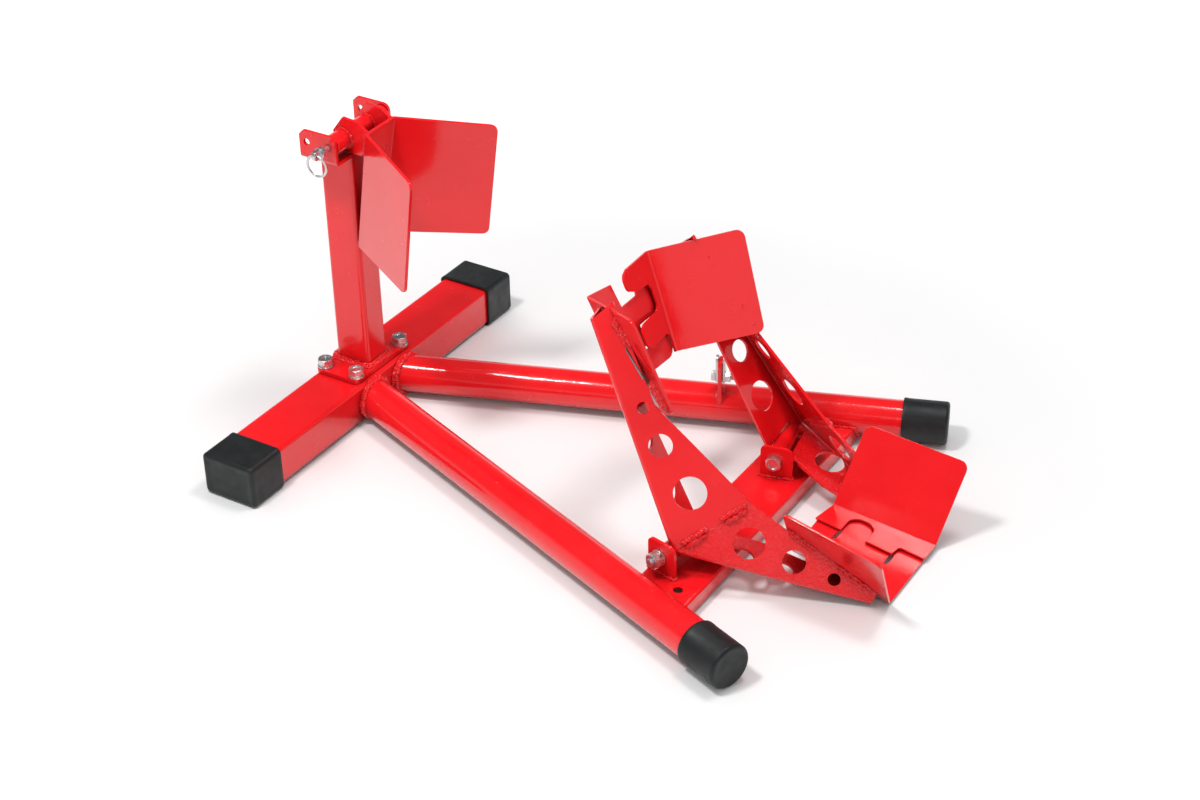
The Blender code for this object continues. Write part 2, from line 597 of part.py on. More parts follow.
def arm(name, sign, fold_far, inner_edge, wing_edge, outer_holes, inner_holes, wing, upper):
    """One arm: outer and inner walls that meet in a fold, trimmed to the wing, mitre and sleeve."""
    fold_near, vertex, inner_near = (side(p, sign) for p in (FOLD_PIVOT, ARM_VERTEX, INNER_PIVOT))
    fold_far = side(fold_far, sign)
    inner_edge = [side(p, sign) for p in inner_edge]
    edge_near, edge_far = (side(p, sign) for p in wing_edge)

    outer = (fold_far - fold_near).cross(vertex - fold_near).normalized()
    beyond_near = edge_near + (edge_near - vertex).normalized() * 14
    beyond_far = edge_far + (edge_far - fold_far).normalized() * 14
    outer_wall = [fold_near, fold_far, beyond_far, beyond_near, vertex]
    outer_wall = [p - outer * outer.dot(p - fold_near) for p in outer_wall]

    inner = (fold_far - fold_near).cross(inner_edge[0] - fold_near).normalized()
    inner_wall = [fold_near, fold_far, *inner_edge, inner_near]
    inner_wall = [p - inner * inner.dot(p - fold_near) for p in inner_wall]
    body = folded_sheet(name, [outer_wall, inner_wall], ARM_T, ARM_BEND)

    wing = [side(p, sign) for p in wing]
    wing_out = (wing[1] - wing[0]).cross(wing[3] - wing[0]).normalized()
    wing_out = wing_out if wing_out.y * sign > 0 else -wing_out
    wing[0] = wing[0] + (wing[0] - wing[1]).normalized() * 25
    wing[3] = wing[3] + (wing[3] - wing[2]).normalized() * 25
    middle = sum(wing, Vector()) / 4
    wing_block = [middle + (p - middle) * 1.02 + wing_out * (CRADLE_T / 2 + GAP) for p in wing]
    wing_block = [p - wing_out * wing_out.dot(p - wing_block[0]) for p in wing_block]
    mitre_at, mitre_normal = mitre(sign)
    kept = mitre_normal if upper else -mitre_normal
    centre, outward, _ = pivot_frame(sign)
    for cutter in (
        extruded(name + "_wing", wing_block, wing_out * -90, helper=True),
        half_space(name + "_mitre", mitre_at + kept * (GAP / 2 + 0.05), -kept),
        rod(name + "_sleeve", centre - outward * SLOT_PAST, centre + outward * SLOT_PAST, ROCKER_SLEEVE_R + GAP,
            segments=28, helper=True),
        sleeve_slot(name, centre, outward),
    ):
        boolean(body, cutter, solver="MANIFOLD")
    if upper:
        start, end = (edge_near.lerp(edge_far, share) for share in SEAM_SLOT)
        line = end - start
        slot = block(name + "_seam_slot", (start + end) / 2, (line.length, 2 * SEAM_SLOT_WIDE, 4 * ARM_T),
                     (line, outer.cross(line), outer))
        boolean(body, slot, solver="MANIFOLD")
    for holes, flat in ((outer_holes, outer), (inner_holes, inner)):
        for at, radius in holes:
            at = side(at, sign)
            at -= flat * flat.dot(at - fold_near)
            drill(body, at - flat * 2 * ARM_T, at + flat * 2 * ARM_T, radius, 28, "MANIFOLD")
    return body


# ---------------------------------------------------------------- cradle plates
def comb_loop(bend_a, bend_b, rows, rise):
    """The outline of a web: from the bend, out to each (share along the bend, y, radius) in rows."""
    across = (bend_b - bend_a)
    facing = Vector((0, 1, 0)).cross(across).normalized()
    if facing.x + facing.z < 0:
        facing = -facing
    points = [bend_b, bend_a]
    radii = [0, 0]
    for share, y, radius in rows:
        base = bend_a.lerp(bend_b, share)
        reach = y - base.y
        points.append(base + Vector((0, reach, 0)) + facing * (abs(reach) * rise))
        radii.append(radius)
    return rounded(points, radii, 4)


UP_COMB_RIGHT = (
    (-0.015, 8, 4), (0.02, -6, 9), (0.17, -6, 10), (0.235, 12, 8), (0.262, 40, 6), (0.32, 44, 6),
    (0.50, 44, 6), (0.534, 38, 5), (0.534, -6, 10), (0.784, -6, 10), (0.784, 40, 4), (0.82, 47, 4),
    (1.02, 47, 2),
)
UP_COMB_LEFT = (
    (0.05, -15.5, 0), (0.299, -11, 0), (0.299, 21, 0), (0.235, 23, 0), (0.235, 54, 6), (0.56, 54, 6),
    (0.56, 8, 0), (0.765, 8, 0), (0.765, -1, 0), (0.80, -1, 0), (0.80, 14.5, 0), (0.75, 14.5, 0),
    (0.75, 51, 8), (1.03, 50, 13),
)
LO_COMB_RIGHT = (
    (-0.04, 14.5, 0), (0.222, 14.5, 0), (0.222, 38, 9), (0.30, 46, 9), (0.40, 46, 9), (0.468, 38, 9),
    (0.468, 14.5, 0), (0.735, 14.5, 0), (0.75, 30, 4), (1.0, 30, 3),
)
LO_COMB_LEFT = (
    (-0.03, 18, 0), (0.195, 18, 0), (0.195, -1, 0), (0.225, -1, 0), (0.225, 17, 0), (0.205, 19, 0),
    (0.205, 49, 9), (0.485, 49, 9), (0.485, 18, 0), (0.715, 18, 0), (0.715, -1, 0), (0.752, -1, 0),
    (0.752, 16, 0), (0.735, 18, 0), (0.735, 34, 3), (0.99, 34, 3),
)


def cradle_plate(name, sign, corners, comb, rise, shift):
    bend_a, tip_a, tip_b, bend_b = (side(c, sign) for c in corners)
    normal = (tip_a - bend_a).cross(bend_b - bend_a).normalized()
    tip_b -= normal * normal.dot(tip_b - bend_a)
    down = tip_a - bend_a
    down -= normal * normal.dot(down)
    line = (bend_b - bend_a).normalized()
    down = (down - line * line.dot(down)).normalized()
    bend_a = bend_a - down * shift
    bend_b = bend_b - down * shift
    wing = rounded([bend_a, tip_a, tip_b, bend_b], [0, CRADLE_CORNER, CRADLE_CORNER, 0], 5)
    return folded_sheet(name, [wing, comb_loop(bend_a, bend_b, comb, rise)], CRADLE_T)


UP_CORNERS = (UP_TOP_BEND, UP_TOP_TIP, UP_LOW_TIP, UP_LOW_BEND)
LO_CORNERS = (LO_REAR_BEND, LO_REAR_TIP, LO_FRONT_TIP, LO_FRONT_BEND)


def cradle(sign, word):
    empty = pivot_empty(f"rocker_{word}_axis", side(PIVOT, sign))
    right = sign > 0
    made = [
        cradle_plate(f"cradle_upper_{word}", sign, UP_CORNERS, UP_COMB_RIGHT if right else UP_COMB_LEFT,
                     UP_RISE if right else 0.0, 0.0 if right else UP_SHIFT),
        cradle_plate(f"cradle_lower_{word}", sign, LO_CORNERS, LO_COMB_RIGHT if right else LO_COMB_LEFT,
                     0.0, -LO_SHIFT if right else 0.0),
        arm(f"arm_upper_{word}", sign, FOLD_TOP, UPPER_INNER_EDGE, UPPER_WING_EDGE, UPPER_HOLES,
            UPPER_INNER_HOLES, UP_CORNERS, True),
        arm(f"arm_lower_{word}", sign, FOLD_END, LOWER_INNER_EDGE, LOWER_WING_EDGE, LOWER_HOLES,
            LOWER_INNER_HOLES, LO_CORNERS, False),
        rocker_sleeve(sign, word),
    ]
    for body in made:
        hang(body, empty)


# ---------------------------------------------------------------- anchor tab
def anchor():
    start, along, inward = leg_line(1)
    up = Vector((0, 0, 1))
    base = start + along * TAB_AT + inward * TAB_ACROSS
    half = TAB_WIDE / 2
    corners = [(-half, TAB_FOOT), (half, TAB_FOOT), (half, TAB_TOP), (-half, TAB_TOP)]
    loop = rounded([base + inward * across + up * (z - LEG_Z) for across, z in corners], [0, 0, 8, 8], 4)
    tab = extruded("anchor_tab", [point - along * (TAB_T / 2) for point in loop], along * TAB_T)
    boolean(tab, rod("anchor_tab_leg", start, start + along * LEG_LONG, LEG_R + GAP, segments=36, helper=True))
    hub = start + along * TAB_AT + inward * TAB_BOLT_ACROSS + up * (TAB_BOLT_Z - LEG_Z)
    drill(tab, hub - along * TAB_T, hub + along * TAB_T, M8["radius"] + 0.3, 16)

    hinge = pivot_empty("anchor_axis", hub)
    for number, outward in ((1, -along), (2, along)):
        foot = hub + outward * (TAB_T / 2 + GAP)
        half = LINK_WIDE / 2
        corners = [(-half, -LINK_DOWN), (half, -LINK_DOWN), (half, LINK_UP), (-half, LINK_UP)]
        loop = rounded([foot + inward * across + up * z for across, z in corners], [5.5] * 4, 4)
        link = extruded(f"anchor_link_{number}", loop, outward * LINK_T, ZINC)
        drill(link, hub - along * 3 * TAB_T, hub + along * 3 * TAB_T, M8["radius"] + 0.25, 16)
        hang(link, hinge)
    seat = TAB_T / 2 + GAP + LINK_T + 0.2
    bolt = hexagon("anchor_bolt", hub - along * seat, -along, M8["af"], M8["head"])
    shank_start, shank_end = hub - along * (seat + INTO_HEAD), hub + along * ANCHOR_BOLT_LONG
    join(bolt, rod("anchor_bolt_shank", shank_start, shank_end, M8["radius"], segments=16, helper=True))
    nut = hexagon("anchor_nut", hub + along * seat, along, M8["af"], M8["nut"])
    drill(nut, hub, hub + along * 2 * ANCHOR_BOLT_LONG, M8["radius"] + 0.2, 16)


# ---------------------------------------------------------------- the whole stand
def build():
    crossbar()
    boots()
    plate_top = base_plate()
    base_bolts(plate_top)
    rect_tube("post", POST_MID_X, POST_X, POST_Y, POST_WALL, plate_top + GAP, POST_TOP, POST_CORNER)
    legs()
    cross_member()
    top_bracket()

    stop_axis = pivot_empty("stop_axis", (PIN_X, 0, PIN_Z))
    for body in [stop_plate(), *stop_lugs(), stop_sleeve()]:
        hang(body, stop_axis)
    pin_axis = pivot_empty("lock_pin_axis", (PIN_X, -60, PIN_Z))
    hang(lock_pin(), pin_axis)
    ring_axis = pivot_empty("pin_ring_axis", (PIN_X, -78, PIN_Z))
    hang(pin_ring(), ring_axis)

    pivot_lugs()
    pivot_hardware()
    for sign, word in ((-1, "left"), (1, "right")):
        cradle(sign, word)
    anchor()


build()
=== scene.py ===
"""Looks of the motorcycle wheel stand: powder-coated steel, weld beads, zinc-plated fasteners, rubber
boots, studio light and camera. Everything is in metres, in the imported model's frame."""

import json
import math

import bmesh
import bpy
from mathutils import Matrix, Vector, noise
from mathutils.bvhtree import BVHTree


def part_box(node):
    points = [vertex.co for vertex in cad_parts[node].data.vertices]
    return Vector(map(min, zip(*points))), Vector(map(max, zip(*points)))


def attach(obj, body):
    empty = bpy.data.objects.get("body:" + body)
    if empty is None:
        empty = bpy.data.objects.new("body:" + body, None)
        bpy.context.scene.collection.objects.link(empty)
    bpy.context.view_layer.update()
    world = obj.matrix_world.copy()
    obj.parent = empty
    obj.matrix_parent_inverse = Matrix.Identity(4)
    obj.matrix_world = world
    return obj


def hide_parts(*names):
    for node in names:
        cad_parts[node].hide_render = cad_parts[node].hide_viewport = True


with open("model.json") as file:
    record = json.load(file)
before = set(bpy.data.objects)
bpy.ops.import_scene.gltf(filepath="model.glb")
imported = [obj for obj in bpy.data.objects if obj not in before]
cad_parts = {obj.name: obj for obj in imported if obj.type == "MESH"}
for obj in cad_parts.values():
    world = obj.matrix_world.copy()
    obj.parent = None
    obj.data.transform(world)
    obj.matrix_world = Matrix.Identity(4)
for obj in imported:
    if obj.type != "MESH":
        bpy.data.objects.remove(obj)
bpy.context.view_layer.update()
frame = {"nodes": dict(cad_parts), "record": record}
NODES = frame["nodes"]

MM = 0.001
UP = Vector((0, 0, 1))
SIDES = ((-1, "left"), (1, "right"))

BAR_LOW, BAR_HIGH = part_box("crossbar")
# The positions below count x from the middle of the crossbar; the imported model's origin lies elsewhere.
ORIGIN = Vector(((BAR_LOW.x + BAR_HIGH.x) / 2, 0, 0))

# ---- camera, in metres and degrees ----
CAMERA_AT = Vector((1.5872, -1.9418, 1.5758)) + ORIGIN
CAMERA_AZIMUTH, CAMERA_ELEVATION, CAMERA_ROLL = 32.51, 32.57, -1.17
CAMERA_LENS, CAMERA_SENSOR = 69.42, 36.0
CAMERA_CLIP = (0.05, 200)

# ---- design lines that the weld beads follow, right side, in millimetres ----
LEG_START, LEG_ANGLE, LEG_RADIUS = (35.0, 32.6, 27.0), 20.4, 24.0
FOLD_PIVOT, ARM_VERTEX = (539.0, 155.5, 50.5), (604.4, 93.0, 102.5)
FOLD_TOP, FOLD_END = (406.0, 107.0, 287.0), (746.0, 74.0, 4.6)
ARM_T = 3.2
UPPER_SEAM = ((499.6, 105.1, 191.9), (416.3, 94.7, 297.0))
LOWER_SEAM = ((640.5, 86.1, 80.2), (750.0, 61.3, 19.3))
PIVOT, SPLAY = (537.0, 115.0, 44.5), 12.5
PIN_X, PIN_Z, STOP_SLEEVE_R = 15.5, 376.0, 12.5
STOP_LUG_Y, STOP_LUG_T, STOP_LUG_REAR = 23.0, 4.0, 6.0
TAB_ALONG, TAB_ACROSS, TAB_T, TAB_FOOT_WIDE = 408.0, 10.0, 5.0, 21.0
POST_CORNER = 6.0

# ---- weld beads ----
BEAD_RADIUS = dict(post_foot=3.3, post_head=1.9, leg=3.3, member=2.5, lug=1.9, wing=2.8, mitre=3.3,
                   stop_sleeve=1.3, stop_lug=1.6, tab=1.7)  # millimetres
BEAD_SIDES = 12
BEAD_STEP, RIPPLE_PITCH = 0.5 * MM, 2.7 * MM
BEAD_TAPER, BEAD_END = 1.6, 0.03  # length of the tapered end in radii, and how blunt it is
RIPPLE, LUMPS, PIMPLES, SWAY = 0.11, 0.55, 0.32, 0.28  # shares of the radius
# Where beads lie, in millimetres: from the first row of a two-row weld to the second, from a face to the
# middle of its bead, and for the cradles out of the arm's web and along it.
SECOND_ROW, FACE_GAP = 4.2, 0.3
FOOT_UP, FOOT_OUT, HEAD_DOWN, BAR_OUT, MEMBER_OUT, MEMBER_GAP, LUG_UP = 0.6, 0.8, 0.8, 0.8, 0.6, 0.5, 0.4
MEMBER_HEIGHTS = (3, 8, 14)  # of the bead's corners above the cross-member's underside
WING_OUT, WING_ALONG, MITRE_OUT, MITRE_ALONG = 1.0, 3.4, 1.9, 2.8
# Shares of each line that carry a bead.
UPPER_RUNS = ((0.02, 0.32), (0.65, 0.95))
LOWER_RUNS = ((0.03, 0.34), (0.55, 0.93))
MITRE_RUNS = ((0.13, 0.47), (0.62, 0.97))
PROBE_STEPS, PROBE_FROM = 40, 12 * MM  # rays that look for the wing plate along a seam

# ---- fasteners, in millimetres ----
M10 = dict(across=17.0, head=6.5, nut=8.0, radius=5.0, pitch=1.5)
M8 = dict(across=13.0, head=5.3, nut=6.5, radius=4.0, pitch=1.25)
BASE_SHANK, PIVOT_SHANK, PIVOT_THREAD = 23.0, 113.6, 16.0
PIVOT_HEAD_OUT, PIVOT_NUT_OUT = 48.4, 53.25  # from the pivot's middle to each seat
ANCHOR_HUB_ACROSS, ANCHOR_HUB_Z, ANCHOR_SEAT, ANCHOR_SHANK, ANCHOR_THREAD = 12.0, 73.0, 6.0, 24.0, 19.0
HEX_TURNS, ROD_TURNS = 72, 36
CHAMFER, HEX_FACE = math.tan(math.radians(30)), 0.955  # chamfer slope; round face as a share of the flats
HEAD_RIM, HEAD_DISH, HEAD_MIDDLE = 0.74, 0.64, 0.3  # the dished head: radii as shares
DISH_DEPTH, DISH_MIDDLE = 0.09, 0.10  # and depths, as shares of the width across flats
THREAD_DEPTH, THREAD_STEPS = 0.55, 6  # share of the pitch, rings in a pitch
RING_WIRE_X, RING_WIRE_Y = 1.5, 0.70  # half sizes of the split ring's flat wire
RING_TURNS, RING_STEPS, RING_START, RING_LEAN = 1.85, 140, 0.9, 2.6  # lean in wire half sizes
NUT_PLAY, NUT_SINK = 0.15, 0.7  # bore larger than the bolt, and its countersink

# ---- rubber, in millimetres ----
LEG_LONG, CAP_LONG, CAP_RADIUS = 687.0, 56.0, 27.0
BOOT = dict(corner=6.5, wall=3.0, thick=5.0, fillet=4.5)
CAP = dict(corner=26.99, wall=2.7, thick=3.5, fillet=4.0)

# ---- colours, as linear red, green and blue ----
RED_DEEP, RED_BRIGHT = (0.80, 0.0075, 0.011), (0.88, 0.0115, 0.016)
RUBBER_CLEAN, RUBBER_DUSTY = (0.0065, 0.0085, 0.0090), (0.0150, 0.0180, 0.0185)
ZINC_BLUE, ZINC_GREY, ZINC_YELLOW = (0.66, 0.69, 0.72), (0.75, 0.76, 0.77), (0.75, 0.73, 0.67)

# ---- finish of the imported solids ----
EDGE_COATED, EDGE_ZINC = 0.55 * MM, 0.45 * MM
EDGE_SEGMENTS, EDGE_ANGLE, FLAT_ANGLE = 2, 32, 0.6
SAME_POINT = 0.08 * MM

# ---- light ----
WORLD_FILL = 0.60
# Reflections show a bright band low down and a dark ceiling above it. Heights go from 0, level, to 1, up.
HORIZON_SEEN, HORIZON_TO = (0.85, 0.86, 0.88), 0.09
CEILING_SEEN, CEILING_FROM = (0.07, 0.07, 0.0735), 0.36
BACKDROP_LIFT = (0.45, 1.3, 0.0, 0.45)  # floor glow seen by the camera: from, to (metres), near, far
AIM = ORIGIN + Vector((0.35, 0.0, 0.1))
# Each softbox: where from, its two sides (metres), power (watts), share that reflections show.
SOFTBOXES = {
    "key": ((-0.1, -0.9, 2.3), (0.35, 0.35), 30, 0.5),
    "top": ((0.75, 0.35, 2.3), (0.5, 0.5), 15, 0.1),
    "front": ((1.9, -2.2, 1.9), (0.9, 0.6), 6, 0.1),
}
FLOOR_SIZE = 60


def right_or_left(point, sign):
    """A right-side point in millimetres, on the side that sign names, in metres."""
    return ORIGIN + Vector((point[0], sign * point[1], point[2])) * MM


# ================================================================ node helpers
class Nodes:
    """A short way to write a material's node tree."""

    def __init__(self, name):
        self.material = bpy.data.materials.new(name)
        self.material.use_nodes = True
        self.tree = self.material.node_tree
        self.shader = self.tree.nodes["Principled BSDF"]

    def add(self, kind, **settings):
        """A new node; each setting is one of its inputs or one of its properties."""
        node = self.tree.nodes.new("ShaderNode" + kind)
        for key, value in settings.items():
            if key in node.inputs:
                node.inputs[key].default_value = value
            else:
                setattr(node, key, value)
        return node

    def link(self, out, into):
        self.tree.links.new(out, into)

    def place(self, stretch=(1, 1, 1)):
        """Object coordinates, stretched along each axis."""
        coords = self.add("TexCoord")
        mapping = self.add("Mapping")
        mapping.inputs["Scale"].default_value = stretch
        self.link(coords.outputs["Object"], mapping.inputs["Vector"])
        return mapping.outputs["Vector"]

    def noise(self, where, scale, detail=2.0, roughness=0.5):
        node = self.add("TexNoise", Scale=scale, Detail=detail, Roughness=roughness)
        self.link(where, node.inputs["Vector"])
        return node.outputs["Fac"]

    def ramp(self, value, stops):
        """A colour ramp whose stops are (position, grey or colour)."""
        node = self.add("ValToRGB")
        ramp = node.color_ramp
        while len(ramp.elements) < len(stops):
            ramp.elements.new(0.5)
        for element, (at, colour) in zip(ramp.elements, stops):
            element.position = at
            element.color = (*colour, 1) if isinstance(colour, tuple) else (colour, colour, colour, 1)
        self.link(value, node.inputs["Fac"])
        return node.outputs["Color"]

    def multiply(self, first, second):
        """The product of two colours."""
        node = self.add("Mix", data_type="RGBA", blend_type="MULTIPLY")
        node.inputs[0].default_value = 1.0
        self.link(first, node.inputs[6])
        self.link(second, node.inputs[7])
        return node.outputs[2]

    def bump(self, height, strength, distance, under=None):
        """Relief from a height, on top of the relief under it."""
        node = self.add("Bump", Strength=strength, Distance=distance)
        self.link(height, node.inputs["Height"])
        if under is not None:
            self.link(under, node.inputs["Normal"])
        return node.outputs["Normal"]


# ================================================================ materials
def powder_coat(name, peel, grain, crevice_shade=0.30):
    """Glossy red powder coat: faint colour drift, painted shade that darkens the base colour in hollows and
    between parts, slow waves of the sheet, orange peel (strength, scale) and grain (strength, scale,
    depth).
    The last argument is how dark the painted shade gets at its deepest."""
    n = Nodes(name)
    where = n.place()
    drift = n.ramp(n.noise(where, 9.0, 3.0), ((0.3, RED_DEEP), (0.7, RED_BRIGHT)))
    # Painted shade: ambient occlusion darkens the base colour in hollows and where parts meet.
    hollow = n.add("AmbientOcclusion", samples=4, Distance=0.030)
    painted_shade_colour = (crevice_shade, crevice_shade * 0.7, crevice_shade * 0.7)
    shade = n.ramp(hollow.outputs["AO"], ((0.18, painted_shade_colour), (0.75, (1.0, 1.0, 1.0))))
    n.link(n.multiply(drift, shade), n.shader.inputs["Base Color"])
    rubbed = n.ramp(n.noise(where, 38.0, 4.0, 0.65), ((0.38, 0.17), (0.72, 0.30)))
    n.link(rubbed, n.shader.inputs["Roughness"])
    waves = n.bump(n.noise(where, 22.0, 1.0), 0.10, 0.004)
    peel_strength, peel_scale = peel
    peeled = n.bump(n.noise(where, peel_scale, 2.0, 0.45), peel_strength, 0.0006, waves)
    grain_strength, grain_scale, grain_depth = grain
    relief = n.bump(n.noise(where, grain_scale, 3.0, 0.6), grain_strength, grain_depth, peeled)
    n.link(relief, n.shader.inputs["Normal"])
    n.shader.inputs["Specular IOR Level"].default_value = 0.22
    n.shader.inputs["Coat Weight"].default_value = 0.85
    n.shader.inputs["Coat Roughness"].default_value = 0.05
    n.link(relief, n.shader.inputs["Coat Normal"])
    return n.material


def black_rubber():
    """Moulded rubber: near black, cool, with a fine grain, scuffs and dusty patches."""
    n = Nodes("black_rubber_moulded")
    where = n.place()
    dust = n.ramp(n.noise(where, 26.0, 5.0, 0.6), ((0.35, RUBBER_CLEAN), (0.75, RUBBER_DUSTY)))
    n.link(dust, n.shader.inputs["Base Color"])
    scuffs = n.ramp(n.noise(where, 55.0, 4.0, 0.6), ((0.35, 0.40), (0.7, 0.60)))
    n.link(scuffs, n.shader.inputs["Roughness"])
    soft = n.bump(n.noise(where, 60.0, 2.0), 0.18, 0.0015)
    grain = n.bump(n.noise(where, 1600.0, 2.0), 0.22, 0.0003, soft)
    n.link(grain, n.shader.inputs["Normal"])
    n.shader.inputs["IOR"].default_value = 1.42
    n.shader.inputs["Sheen Weight"].default_value = 0.03
    return n.material


def zinc_plate():
    """Bright zinc plate: brushed, with a slight yellow and blue passivation tint."""
    n = Nodes("zinc_bright")
    where = n.place()
    tint = n.ramp(n.noise(where, 85.0, 2.0), ((0.3, ZINC_BLUE), (0.5, ZINC_GREY), (0.72, ZINC_YELLOW)))
    n.link(tint, n.shader.inputs["Base Color"])
    rough = n.ramp(n.noise(where, 420.0, 3.0), ((0.3, 0.24), (0.7, 0.38)))
    n.link(rough, n.shader.inputs["Roughness"])
    brushed = n.bump(n.noise(n.place((1, 1, 9)), 900.0, 2.0), 0.12, 0.0003)
    n.link(brushed, n.shader.inputs["Normal"])
    n.shader.inputs["Metallic"].default_value = 0.95
    return n.material


def floor_paper():
    """White seamless paper, a little glossy. Away from the stand it glows for the camera, up to white."""
    n = Nodes("floor_paper")
    where = n.place()
    tone = n.ramp(n.noise(where, 3.0, 2.0), ((0.3, 0.83), (0.7, 0.85)))
    n.link(tone, n.shader.inputs["Base Color"])
    n.shader.inputs["Roughness"].default_value = 0.42
    n.shader.inputs["Specular IOR Level"].default_value = 0.35
    n.shader.inputs["Emission Color"].default_value = (1, 1, 1, 1)
    away = n.add("VectorMath", operation="LENGTH")
    n.link(where, away.inputs[0])
    far = n.add("MapRange", interpolation_type="SMOOTHSTEP")
    for socket, value in zip(("From Min", "From Max", "To Min", "To Max"), BACKDROP_LIFT):
        far.inputs[socket].default_value = value
    n.link(away.outputs["Value"], far.inputs["Value"])
    lift = n.add("Math", operation="MULTIPLY")
    n.link(far.outputs["Result"], lift.inputs[0])
    n.link(n.add("LightPath").outputs["Is Camera Ray"], lift.inputs[1])
    n.link(lift.outputs["Value"], n.shader.inputs["Emission Strength"])
    return n.material


# Every red coat darkens its hollows with painted shade; the weld beads get a lighter painted shade.
RED = powder_coat("red_coat_smooth", (0.16, 420.0), (0.0, 900.0, 0.0009))
RED_WELD = powder_coat("red_coat_on_weld", (0.35, 500.0), (0.70, 1100.0, 0.0013), crevice_shade=0.80)
RED_ROUGH = powder_coat("red_coat_hammered", (0.30, 420.0), (0.75, 300.0, 0.0030))
RUBBER = black_rubber()
ZINC = zinc_plate()
COAT_OF = {"red_powder_coat": RED, "black_rubber": RUBBER, "zinc_plate": ZINC}


# ================================================================ pieces
def dress(node, coat, edge_width):
    """Gives a CAD node its coat and softly rounded edges. Its mesh stays as it is."""
    mesh = node.data
    if "custom_normal" in mesh.attributes:
        mesh.attributes.remove(mesh.attributes["custom_normal"])
    mesh.shade_smooth()
    mesh.materials.clear()
    mesh.materials.append(coat)
    weld_points = node.modifiers.new("weld", "WELD")
    weld_points.merge_threshold = SAME_POINT
    flat = node.modifiers.new("flat faces", "DECIMATE")
    flat.decimate_type = "DISSOLVE"
    flat.angle_limit = math.radians(FLAT_ANGLE)
    edge = node.modifiers.new("edges", "BEVEL")
    edge.width = edge_width
    edge.segments = EDGE_SEGMENTS
    edge.limit_method = "ANGLE"
    edge.angle_limit = math.radians(EDGE_ANGLE)
    edge.use_clamp_overlap = True
    normals = node.modifiers.new("normals", "WEIGHTED_NORMAL")
    normals.keep_sharp = True


def piece(name, body, bm, coat, sharp=None):
    """Makes a mesh piece that rides on a body. Edges bent by more than sharp degrees stay crisp."""
    bmesh.ops.recalc_face_normals(bm, faces=bm.faces)
    mesh = bpy.data.meshes.new(name)
    bm.to_mesh(mesh)
    bm.free()
    mesh.shade_smooth()
    if sharp:
        mesh.set_sharp_from_angle(angle=math.radians(sharp))
    mesh.materials.append(coat)
    made = bpy.data.objects.new(name, mesh)
    bpy.context.scene.collection.objects.link(made)
    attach(made, body)
    return made


def skin(bm, rings, wrap=False):
    """Faces between rings of equal length. One face closes each end, unless wrap joins last to first."""
    rows = [[bm.verts.new(p) for p in ring] for ring in rings]
    count = len(rows[0])
    pairs = list(zip(rows, rows[1:]))
    if wrap:
        pairs.append((rows[-1], rows[0]))
    for low, high in pairs:
        for k in range(count):
            m = (k + 1) % count
            bm.faces.new((low[k], low[m], high[m], high[k]))
    if not wrap:
        bm.faces.new(rows[0][::-1])
        bm.faces.new(rows[-1])


def axes_for(axis):
    """Two unit vectors square to the axis and to each other."""
    axis = axis.normalized()
    hint = UP if abs(axis.z) < 0.9 else Vector((1, 0, 0))
    first = hint.cross(axis).normalized()
    return first, axis.cross(first)


def angles(count):
    """Evenly spaced angles round a full turn."""
    return [2 * math.pi * k / count for k in range(count)]


# ================================================================ weld beads
def resample(points, step, closed):
    """Points spaced evenly along a polyline."""
    points = list(points) + ([points[0]] if closed else [])
    lengths = [0.0]
    for a, b in zip(points, points[1:]):
        lengths.append(lengths[-1] + (b - a).length)
    total = lengths[-1]
    count = max(4, int(total / step))
    out = []
    at = 0
    for k in range(count + (0 if closed else 1)):
        want = total * k / count
        while at < len(lengths) - 2 and lengths[at + 1] < want:
            at += 1
        span = max(lengths[at + 1] - lengths[at], 1e-9)
        out.append(points[at].lerp(points[at + 1], (want - lengths[at]) / span))
    return out


def bead_rings(points, radius, closed, seed):
    """Rings of a weld bead: overlapping ripples with an uneven edge, tapering where it starts and stops."""
    path = resample(points, BEAD_STEP, closed)
    count = len(path)
    shift = Vector((seed * 3.7, seed * 1.3, seed * 2.1))
    rings = []
    travelled = 0.0
    for k, point in enumerate(path):
        before = path[k - 1] if (k or closed) else path[0]
        after = path[(k + 1) % count] if (k < count - 1 or closed) else path[-1]
        first, second = axes_for(after - before)
        travelled += (point - path[k - 1]).length if k else 0.0
        end = 1.0
        if not closed:
            reach = min(k, count - 1 - k) * BEAD_STEP / (BEAD_TAPER * radius)
            end = math.sqrt(max(BEAD_END, 1 - (1 - min(1.0, reach)) ** 2))
        sway = radius * SWAY * noise.noise(point * 160 + shift)
        ring = []
        for turn in angles(BEAD_SIDES):
            across, up = math.cos(turn), math.sin(turn)
            ripple = math.sin(2 * math.pi * travelled / RIPPLE_PITCH + 1.3 * across)
            spot = point + first * (across * radius) + second * (up * radius)
            lump = 1 + RIPPLE * ripple + LUMPS * noise.noise(spot * 300 + shift)
            lump += PIMPLES * noise.noise(spot * 850)
            reach = radius * end * lump
            ring.append(point + first * (across * reach + sway) + second * (up * reach))
        rings.append(ring)
    return rings


def weld(name, body, runs, joint, closed=False):
    """One piece holding the beads of a joint; each run is a list of points."""
    bm = bmesh.new()
    for number, run in enumerate(runs):
        seed = sum(ord(letter) for letter in name) * 0.13 + number
        skin(bm, bead_rings(run, BEAD_RADIUS[joint] * MM, closed, seed), wrap=closed)
    return piece("weld_" + name, body, bm, RED_WELD)


def between(a, b, start, end, lift):
    """A straight run from share start to share end of the line from a to b, moved by lift."""
    return [a.lerp(b, start) + lift, a.lerp(b, end) + lift]


